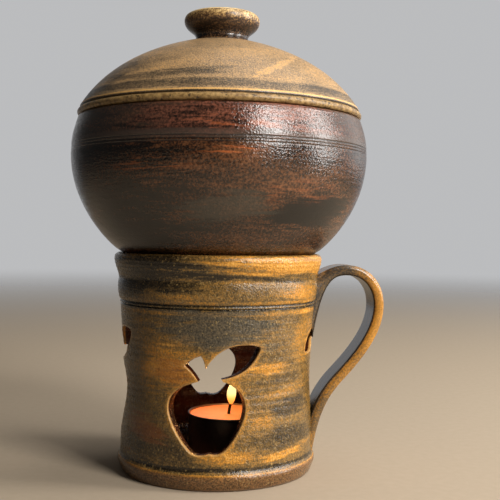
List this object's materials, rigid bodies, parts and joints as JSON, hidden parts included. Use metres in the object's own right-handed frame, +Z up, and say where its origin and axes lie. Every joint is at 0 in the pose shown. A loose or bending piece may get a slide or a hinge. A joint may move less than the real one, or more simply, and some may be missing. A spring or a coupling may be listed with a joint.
{
  "type": "apple baker",
  "caption": "Stoneware apple baker: mug-shaped tealight stand with apple-cut windows and strap handle, covered baking bowl with inner spike, and a domed lid with a knob.",
  "frame": {"origin": "middle of the stand's flat base", "axes": "+Z up through the stand, bowl and lid; -Y is the front with the main window; +X is the handle's side"},
  "size_m": [0.1434, 0.1342, 0.2068],
  "materials": {
    "stand_glaze": "satin",
    "handle_glaze": "satin",
    "bowl_glaze": "gloss",
    "lid_glaze": "satin",
    "knob_glaze": "gloss",
    "aluminium_cup": "satin",
    "wax": "satin",
    "wick_cotton": "matte",
    "tin": "satin"
  },
  "bodies": {
    "stand": {"stand": "stand_glaze", "strap_handle": "handle_glaze"},
    "bowl": {"baking_bowl": "bowl_glaze"},
    "lid": {"lid": "lid_glaze", "lid_knob": "knob_glaze"},
    "tealight": {"tealight_cup": "aluminium_cup", "tealight_wax": "wax", "wick": "wick_cotton", "wick_sustainer": "tin"}
  },
  "joints": [
    {"name": "bowl_lift", "type": "slide", "parent": "stand", "child": "bowl", "axis": [0, 0, 1], "range_m": [0, 0.07]},
    {"name": "lid_lift", "type": "slide", "parent": "bowl", "child": "lid", "axis": [0, 0, 1], "range_m": [0, 0.07]},
    {"name": "tealight_lift", "type": "slide", "parent": "stand", "child": "tealight", "axis": [0, 0, 1], "range_m": [0, 0.06]}
  ]
}
